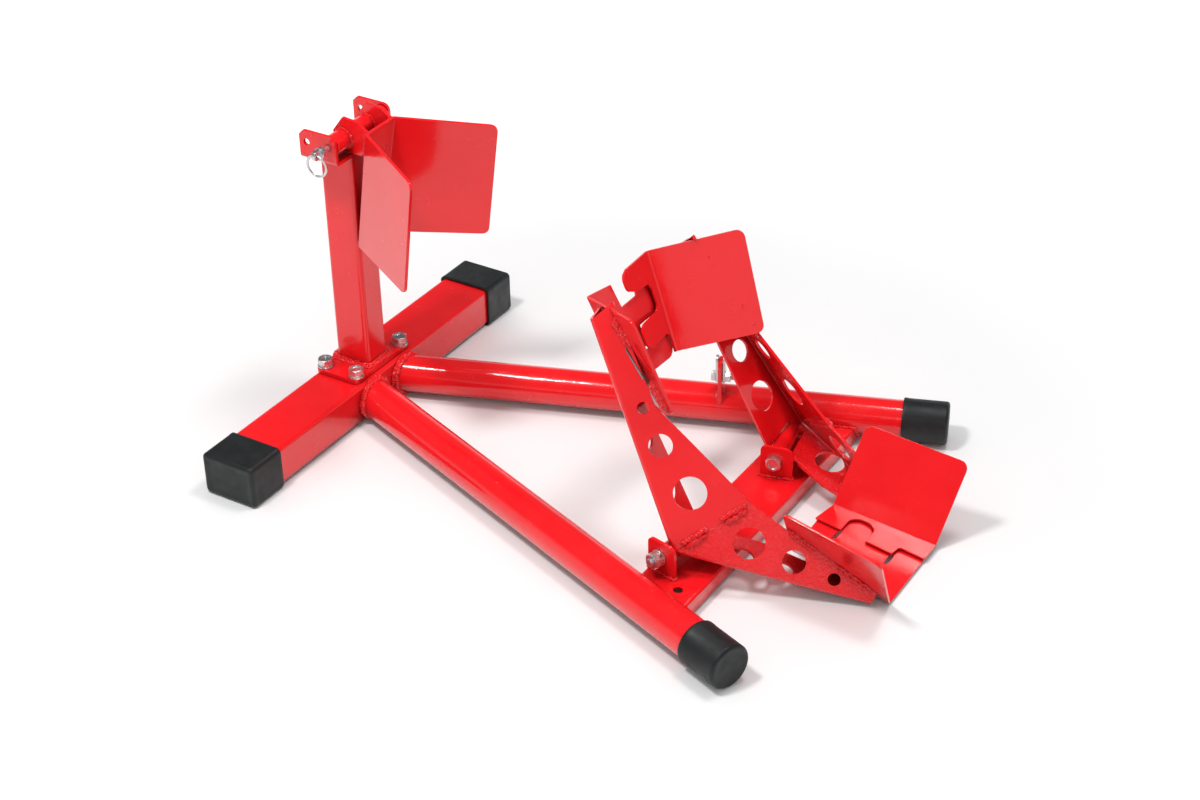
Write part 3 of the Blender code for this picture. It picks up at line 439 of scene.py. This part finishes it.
def leg_frame(sign):
    """Where a leg starts, its direction, and the level direction towards the middle of the stand."""
    angle = math.radians(LEG_ANGLE)
    along = Vector((math.cos(angle), sign * math.sin(angle), 0))
    inward = Vector((math.sin(angle), -sign * math.cos(angle), 0))
    return right_or_left(LEG_START, sign), along, inward


def leg_top(start, across):
    """Height of a leg's upper surface at a distance across from its middle line."""
    return start.z + math.sqrt((LEG_RADIUS * MM) ** 2 - across * across)


def weld_post():
    """Two rows round the foot of the post and one under its bracket."""
    low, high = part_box("post")
    plate_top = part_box("base_plate")[1].z
    corner = POST_CORNER * MM

    def loop(z, grow):
        points = []
        for cx, cy, start in ((1, 1, 0), (-1, 1, 90), (-1, -1, 180), (1, -1, 270)):
            centre = Vector((high.x - corner if cx > 0 else low.x + corner,
                             high.y - corner if cy > 0 else low.y + corner, z))
            for k in range(5):
                turn = math.radians(start + 22.5 * k)
                points.append(centre + Vector((math.cos(turn), math.sin(turn), 0)) * (corner + grow))
        return points

    rows = [loop(plate_top + FOOT_UP * MM, FOOT_OUT * MM), loop(plate_top, SECOND_ROW * MM)]
    weld("post_foot", "frame", rows, "post_foot", closed=True)
    head = loop(high.z - HEAD_DOWN * MM, FACE_GAP * MM)
    weld("post_head", "frame", [head], "post_head", closed=True)


def weld_legs():
    """Two rows round the end of each leg, where it meets the crossbar."""
    bar_face = BAR_HIGH.x + BAR_OUT * MM
    for sign, word in SIDES:
        start, along, inward = leg_frame(sign)
        ring = []
        for turn in angles(48):
            off = inward * math.cos(turn) + UP * math.sin(turn)
            point = start + off * (LEG_RADIUS * MM)
            point -= along * ((point.x - bar_face) / along.x)
            ring.append(point)
        second_row = [point + along * (SECOND_ROW * MM) for point in ring]
        weld(f"leg_{word}_bar", "frame", [ring, second_row], "leg", closed=True)


def weld_member():
    """A bead up, over and down each end of the cross-member, where it meets a leg."""
    low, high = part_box("cross_member")
    for sign, word in SIDES:
        start, along, inward = leg_frame(sign)

        def edge(x, z):
            drop = z - start.z
            out = math.sqrt((LEG_RADIUS * MM) ** 2 - drop * drop) + MEMBER_GAP * MM
            point = start + inward * out
            point += along * ((x - point.x) / along.x)
            point.z = z
            return point

        heights = [low.z + above * MM for above in MEMBER_HEIGHTS] + [high.z + FACE_GAP * MM]
        run = [edge(low.x - MEMBER_OUT * MM, z) for z in heights]
        run += [edge(high.x + MEMBER_OUT * MM, z) for z in reversed(heights)]
        weld(f"member_{word}", "frame", [run], "member")


def weld_pivot_lugs():
    """A bead round the foot of each pivot lug, along the corners of its lower face."""
    for word in ("left", "right"):
        for place in ("inner", "outer"):
            corners_at = [v.co for v in NODES[f"pivot_lug_{word}_{place}"].data.vertices]
            foot = min(c.z for c in corners_at)
            corners = {tuple(round(c, 5) for c in at[:2]) for at in corners_at if at.z < foot + 1e-5}
            centre = sum((Vector((x, y, 0)) for x, y in corners), Vector()) / len(corners)
            ordered = sorted(corners, key=lambda c: math.atan2(c[1] - centre.y, c[0] - centre.x))
            loop = [Vector((x, y, foot + LUG_UP * MM)) for x, y in ordered]
            weld(f"lug_{word}_{place}", "frame", [loop], "lug", closed=True)


def seam_ends(plate, near, far, onto_arm):
    """The two ends of the line where an arm's outer face meets the near face of a wing plate."""
    hits = []
    for step in range(PROBE_STEPS + 1):
        start = near.lerp(far, step / PROBE_STEPS) + onto_arm * PROBE_FROM
        hit = plate.ray_cast(start, -onto_arm)[0]
        if hit:
            hits.append(hit)
    return hits[0], hits[-1]


def arm_outward(tip, sign):
    """Unit vector out of the arm's web that runs from the fold to tip."""
    fold_start, fold_end = right_or_left(FOLD_PIVOT, sign), right_or_left(ARM_VERTEX, sign)
    outer = (right_or_left(tip, sign) - fold_start).cross(fold_end - fold_start).normalized()
    return outer if outer.y * sign > 0 else -outer


def weld_wing(sign, word, height, tip, seam, shares, graph):
    """Two rows of beads on the arm's web, along the line where it meets a wing plate."""
    fold_start = right_or_left(FOLD_PIVOT, sign)
    outer = arm_outward(tip, sign)
    plate = BVHTree.FromObject(NODES[f"cradle_{height}_{word}"], graph)
    level = fold_start.dot(outer) + ARM_T / 2 * MM
    near, far = (right_or_left(p, sign) for p in seam)
    near, far = (p + outer * (level - p.dot(outer)) for p in (near, far))
    onto_arm = outer.cross(far - near).normalized()
    onto_arm = onto_arm if onto_arm.dot(fold_start - near) > 0 else -onto_arm
    near, far = seam_ends(plate, near, far, onto_arm)
    runs = [between(near, far, start, end, outer * (WING_OUT * MM)) for start, end in shares]
    for start, end in shares:
        runs.append(between(near, far, start + 0.03, end - 0.02, onto_arm * (WING_ALONG * MM)))
    weld(f"wing_{height}_{word}", f"rocker_{word}", runs, "wing")


def weld_mitre(sign, word):
    """Two rows along the fold line, where the arm's upper and lower webs meet."""
    a, b = right_or_left(FOLD_PIVOT, sign), right_or_left(ARM_VERTEX, sign)
    outer = arm_outward(FOLD_END, sign)
    lift = outer * (MITRE_OUT * MM)
    across = outer.cross(b - a).normalized() * (MITRE_ALONG * MM)
    runs = []
    for start, end in MITRE_RUNS:
        runs.append(between(a, b, start, end, lift + across))
        runs.append(between(a, b, start + 0.03, end - 0.04, lift - across))
    weld(f"mitre_{word}", f"rocker_{word}", runs, "mitre")


def weld_cradles():
    graph = bpy.context.evaluated_depsgraph_get()
    for sign, word in SIDES:
        weld_wing(sign, word, "upper", FOLD_TOP, UPPER_SEAM, UPPER_RUNS, graph)
        weld_wing(sign, word, "lower", FOLD_END, LOWER_SEAM, LOWER_RUNS, graph)
        weld_mitre(sign, word)


def weld_stop():
    """Rings where the stop's sleeve passes its lugs, and a bead up each face of a lug's rear edge."""
    for sign, word in SIDES:
        faces = {face: (sign * STOP_LUG_Y + face * (STOP_LUG_T / 2 + FACE_GAP)) * MM for face in (-1, 1)}
        for face, y in faces.items():
            ring = []
            for turn in angles(32):
                out = Vector((math.cos(turn), 0, math.sin(turn))) * ((STOP_SLEEVE_R + FACE_GAP) * MM)
                ring.append(right_or_left((PIN_X, y / MM, PIN_Z), 1) + out)
            name = f"stop_sleeve_{word}_{'out' if face == sign else 'in'}"
            weld(name, "stop", [ring], "stop_sleeve", closed=True)
        rear_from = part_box(f"stop_lug_{word}")[1].x - STOP_LUG_REAR * MM
        corners = [v.co for v in NODES[f"stop_lug_{word}"].data.vertices if v.co.x > rear_from]
        corners.sort(key=lambda c: c.z)
        runs = [[Vector((p.x, y, p.z)) for p in (corners[0], corners[-1])] for y in faces.values()]
        weld(f"stop_lug_{word}", "stop", runs, "stop_lug")


def weld_tab():
    """A bead along each face of the anchor tab's foot, over the round of the right leg."""
    start, along, inward = leg_frame(1)
    runs = []
    for face in (-1, 1):
        run = []
        for k in range(9):
            across = (TAB_ACROSS + (k / 8 - 0.5) * TAB_FOOT_WIDE) * MM
            base = start + along * ((TAB_ALONG + face * (TAB_T / 2 + 0.4)) * MM) + inward * across
            base.z = leg_top(start, across) + FACE_GAP * MM
            run.append(base)
        runs.append(run)
    weld("anchor_tab", "frame", runs, "tab")


# ================================================================ fasteners
def hex_reach(turn, across):
    """Distance from a hexagon's middle to its side, in the direction turn."""
    part = (turn + math.pi / 6) % (math.pi / 3) - math.pi / 6
    return across / 2 / math.cos(part)


def ring_at(centre, axis, radius, height, turns=HEX_TURNS):
    """A ring of points; radius and height may be functions of the angle."""
    first, second = axes_for(axis)
    ring = []
    for turn in angles(turns):
        r = radius(turn) if callable(radius) else radius
        h = height(turn) if callable(height) else height
        ring.append(centre + (first * math.cos(turn) + second * math.sin(turn)) * r + axis * h)
    return ring


def hex_rings(centre, axis, across, height, both_ends):
    """Side rings of a hexagonal head or nut, its corners cut by a cone at the outer end, or at both."""
    face = across / 2 * HEX_FACE

    def side(turn):
        return hex_reach(turn, across)

    def cut(turn):
        return (side(turn) - face) * CHAMFER

    rings = []
    if both_ends:
        rings.append(ring_at(centre, axis, face, 0))
        rings.append(ring_at(centre, axis, side, cut))
    else:
        rings.append(ring_at(centre, axis, side, 0))
    rings.append(ring_at(centre, axis, side, lambda turn: height - cut(turn)))
    rings.append(ring_at(centre, axis, face, height))
    return rings


def thread_rings(centre, axis, radius, start, end, pitch):
    """Rings of a threaded rod: the radius follows the helix, and the end is rounded off."""
    depth = THREAD_DEPTH * pitch
    rings = []
    steps = int((end - start) / (pitch / THREAD_STEPS))
    for step in range(steps + 1):
        height = start + (end - start) * step / steps
        fade = min(1.0, (end - height) / (1.2 * pitch))

        def reach(turn, height=height, fade=fade):
            phase = (height / pitch - turn / (2 * math.pi)) % 1.0
            groove = abs(2 * phase - 1)
            return radius - depth * groove - depth * 0.6 * (1 - fade) ** 2

        rings.append(ring_at(centre, axis, reach, height, ROD_TURNS))
    return rings


def turned_piece(node_name, body, bm):
    """Makes a zinc-plated piece that is shown in place of a CAD node."""
    made = piece(node_name + "_turned", body, bm, ZINC, sharp=28)
    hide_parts(node_name)


def bolt_piece(node_name, body, centre, axis, size, length, thread=0.0):
    """A hexagon bolt: dished head, plain shank and, where it shows, a threaded end of length thread.
    The head grows from centre along axis, and the shank runs the other way."""
    across, height, radius, pitch = (size[key] * MM for key in ("across", "head", "radius", "pitch"))
    bm = bmesh.new()
    rings = hex_rings(centre, axis, across, height, False)
    rim, dish = across / 2 * HEAD_RIM, across / 2 * HEAD_DISH
    rings.append(ring_at(centre, axis, rim, height))
    rings.append(ring_at(centre, axis, dish, height - DISH_DEPTH * across))
    rings.append(ring_at(centre, axis, dish * HEAD_MIDDLE, height - DISH_MIDDLE * across))
    skin(bm, rings)
    length, plain = length * MM, (length - thread) * MM
    shank = [ring_at(centre, -axis, radius, h, ROD_TURNS) for h in (-0.5 * MM, plain)]
    if not thread:
        shank.append(ring_at(centre, -axis, radius * 0.8, plain + 0.8 * MM, ROD_TURNS))
    skin(bm, shank)
    if thread:
        skin(bm, thread_rings(centre, -axis, radius, plain - 0.3 * MM, length, pitch))
    turned_piece(node_name, body, bm)


def nut_piece(node_name, body, centre, axis, size):
    """A hexagon nut with chamfered faces and a countersunk bore."""
    across, height = size["across"] * MM, size["nut"] * MM
    bore, sink = (size["radius"] + NUT_PLAY) * MM, NUT_SINK * MM
    bm = bmesh.new()
    rings = hex_rings(centre, axis, across, height, True)
    rings.append(ring_at(centre, axis, bore + sink, height))
    rings.append(ring_at(centre, axis, bore, height - sink))
    rings.append(ring_at(centre, axis, bore, sink))
    rings.append(ring_at(centre, axis, bore + sink, 0))
    skin(bm, rings, wrap=True)
    turned_piece(node_name, body, bm)


def base_fasteners():
    for number in range(1, 5):
        low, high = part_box(f"base_washer_{number}")
        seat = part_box(f"base_spring_washer_{number}")[1].z + 0.15 * MM
        centre = Vector(((low.x + high.x) / 2, (low.y + high.y) / 2, seat))
        bolt_piece(f"base_bolt_{number}", "frame", centre, UP, M10, BASE_SHANK)


def pivot_fasteners():
    turn = math.radians(SPLAY)
    for sign, word in SIDES:
        outward = Vector((-math.sin(turn), sign * math.cos(turn), 0))
        centre = right_or_left(PIVOT, sign)
        head = centre - outward * (PIVOT_HEAD_OUT * MM)
        bolt_piece(f"pivot_bolt_{word}", "frame", head, -outward, M10, PIVOT_SHANK, PIVOT_THREAD)
        seat = centre + outward * (PIVOT_NUT_OUT * MM)
        nut_piece(f"pivot_nut_{word}", "frame", seat, outward, M10)


def anchor_fasteners():
    start, along, inward = leg_frame(1)
    hub = start + along * (TAB_ALONG * MM) + inward * (ANCHOR_HUB_ACROSS * MM)
    hub.z = ANCHOR_HUB_Z * MM
    seat = along * (ANCHOR_SEAT * MM)
    bolt_piece("anchor_bolt", "frame", hub - seat, -along, M8, ANCHOR_SEAT + ANCHOR_SHANK, ANCHOR_THREAD)
    nut_piece("anchor_nut", "frame", hub + seat, along, M8)


def split_ring():
    """The pull ring: nearly two turns of flat spring wire, one beside the other."""
    low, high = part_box("pin_ring")
    centre = (low + high) / 2
    outer = (high.x - low.x) / 2
    wire_x, wire_y = RING_WIRE_X * MM, RING_WIRE_Y * MM
    rings = []
    for k in range(RING_STEPS + 1):
        turn = 2 * math.pi * RING_TURNS * k / RING_STEPS + RING_START
        out = Vector((math.cos(turn), 0, math.sin(turn)))
        lean = (k / RING_STEPS - 0.5) * RING_LEAN * wire_y
        base = centre + out * (outer - wire_x) + Vector((0, lean, 0))
        ring = []
        for around in angles(12):
            side = Vector((0, wire_y * math.sin(around), 0))
            ring.append(base + out * (wire_x * math.cos(around)) + side)
        rings.append(ring)
    bm = bmesh.new()
    skin(bm, rings)
    made = piece("pin_ring_wire", "pin_ring", bm, ZINC)
    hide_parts("pin_ring")


# ================================================================ rubber
def rounded_section(half_a, half_b, corner, steps=8):
    """A rounded rectangle, counter-clockwise, as (a, b) pairs."""
    out = []
    for sa, sb, start in ((1, 1, 0), (-1, 1, 90), (-1, -1, 180), (1, -1, 270)):
        ca, cb = sa * (half_a - corner), sb * (half_b - corner)
        for k in range(steps + 1):
            turn = math.radians(start + 90 * k / steps)
            out.append((ca + corner * math.cos(turn), cb + corner * math.sin(turn)))
    return out


def cup(node_name, mouth, axis, length, half_a, half_b, form):
    """A moulded rubber cup: soft closed end with a shallow dish, a beaded mouth and an open inside.
    Its profile is a list of (distance from the mouth, inset from the outer surface)."""
    corner, wall, thick, fillet = (form[key] * MM for key in ("corner", "wall", "thick", "fillet"))
    first, second = axes_for(axis)

    def ring(along, inset):
        pairs = rounded_section(half_a - inset, half_b - inset, max(corner - inset, 1.2 * MM))
        return [mouth + axis * along + first * a + second * b for a, b in pairs]

    inside = [(length - thick, wall + 8 * MM), (length - thick, wall), (1.2 * MM, wall)]
    lip = [(0.35 * MM, wall * 0.8), (0.0, wall * 0.5), (0.35 * MM, 0.25 * MM), (1.5 * MM, 0.0)]
    side = [(4.2 * MM, 0.0), (5.4 * MM, 0.35 * MM), (length - fillet, 0.3 * MM)]
    turns = [math.radians(90 * k / 8) for k in range(1, 9)]
    edge = [(length - fillet + fillet * math.sin(t), fillet * (1 - math.cos(t)) + 0.3 * MM) for t in turns]
    dish = [(length - 0.15 * MM, fillet + 2 * MM), (length - 0.8 * MM, fillet + 5 * MM),
            (length - 0.9 * MM, fillet + 9 * MM)]
    rings = [ring(along, inset) for along, inset in inside + lip + side + edge + dish]
    bm = bmesh.new()
    skin(bm, rings)
    made = piece(node_name + "_moulded", "frame", bm, RUBBER, sharp=60)
    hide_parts(node_name)


def rubber_boots():
    for sign, word in SIDES:
        low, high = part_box(f"boot_{word}")
        middle = (low + high) / 2
        mouth = Vector((middle.x, low.y if sign > 0 else high.y, middle.z))
        half_wide, half_high = (high.x - low.x) / 2, (high.z - low.z) / 2
        cup(f"boot_{word}", mouth, Vector((0, sign, 0)), high.y - low.y, half_wide, half_high, BOOT)
        start, along, _ = leg_frame(sign)
        mouth = start + along * ((LEG_LONG - CAP_LONG) * MM)
        cup(f"leg_cap_{word}", mouth, along, CAP_LONG * MM, CAP_RADIUS * MM, CAP_RADIUS * MM, CAP)


# ================================================================ stage
def floor():
    bpy.ops.mesh.primitive_grid_add(x_subdivisions=4, y_subdivisions=4, size=FLOOR_SIZE)
    made = bpy.context.object
    made.name = "floor"
    made.data.materials.append(floor_paper())


def softbox(name, at, size, power, glint):
    """An area light aimed at the stand; glint is the share of it that reflections show."""
    light = bpy.data.lights.new(name, "AREA")
    light.shape = "RECTANGLE"
    light.size, light.size_y = size
    light.energy = power
    light.specular_factor = glint
    lamp = bpy.data.objects.new(name, light)
    lamp.location = ORIGIN + Vector(at)
    lamp.rotation_euler = (AIM - lamp.location).to_track_quat("-Z", "Y").to_euler()
    bpy.context.scene.collection.objects.link(lamp)


def studio():
    """A white backdrop, even fill light, a dark ceiling in reflections, and softboxes overhead."""
    world = bpy.data.worlds.new("studio")
    bpy.context.scene.world = world
    world.use_nodes = True
    tree = world.node_tree
    coords = tree.nodes.new("ShaderNodeTexCoord")
    split = tree.nodes.new("ShaderNodeSeparateXYZ")
    tree.links.new(coords.outputs["Generated"], split.inputs["Vector"])
    seen = tree.nodes.new("ShaderNodeValToRGB")
    low, high = seen.color_ramp.elements
    low.position, low.color = HORIZON_TO, (*HORIZON_SEEN, 1)
    high.position, high.color = CEILING_FROM, (*CEILING_SEEN, 1)
    tree.links.new(split.outputs["Z"], seen.inputs["Fac"])
    path = tree.nodes.new("ShaderNodeLightPath")
    lit = tree.nodes.new("ShaderNodeMix")
    lit.data_type = "RGBA"
    lit.inputs[6].default_value = (WORLD_FILL, WORLD_FILL, WORLD_FILL, 1)
    tree.links.new(path.outputs["Is Glossy Ray"], lit.inputs[0])
    tree.links.new(seen.outputs["Color"], lit.inputs[7])
    backdrop = tree.nodes.new("ShaderNodeMix")
    backdrop.data_type = "RGBA"
    backdrop.inputs[7].default_value = (1, 1, 1, 1)
    tree.links.new(path.outputs["Is Camera Ray"], backdrop.inputs[0])
    tree.links.new(lit.outputs[2], backdrop.inputs[6])
    tree.links.new(backdrop.outputs[2], tree.nodes["Background"].inputs["Color"])
    for name, settings in SOFTBOXES.items():
        softbox(name, *settings)


def camera():
    lens = bpy.data.cameras.new("camera")
    lens.lens, lens.sensor_width = CAMERA_LENS, CAMERA_SENSOR
    lens.clip_start, lens.clip_end = CAMERA_CLIP
    azimuth, elevation, roll = (math.radians(a) for a in (CAMERA_AZIMUTH, CAMERA_ELEVATION, CAMERA_ROLL))
    level = Vector((math.cos(azimuth), math.sin(azimuth), 0))
    back = Vector((math.sin(azimuth) * math.cos(elevation), -math.cos(azimuth) * math.cos(elevation),
                   math.sin(elevation)))
    upright = back.cross(level)
    right = level * math.cos(roll) + upright * math.sin(roll)
    up = upright * math.cos(roll) - level * math.sin(roll)
    matrix = Matrix((right, up, back)).transposed().to_4x4()
    matrix.translation = CAMERA_AT
    made = bpy.data.objects.new("camera", lens)
    made.matrix_world = matrix
    bpy.context.scene.collection.objects.link(made)
    bpy.context.scene.camera = made


# ================================================================ build
def dress_nodes():
    """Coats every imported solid. The lower arms have the rougher, hammered coat."""
    slots = {row["node"]: row["material_slot"] for row in frame["record"]["subparts"]}
    for name, node in NODES.items():
        coat = RED_ROUGH if name.startswith("arm_lower") else COAT_OF[slots[name]]
        dress(node, coat, EDGE_ZINC if coat is ZINC else EDGE_COATED)


dress_nodes()
weld_post()
weld_legs()
weld_member()
weld_pivot_lugs()
weld_cradles()
weld_stop()
weld_tab()
base_fasteners()
pivot_fasteners()
anchor_fasteners()
split_ring()
rubber_boots()
floor()
studio()
camera()
bpy.context.scene.view_settings.view_transform = "Standard"
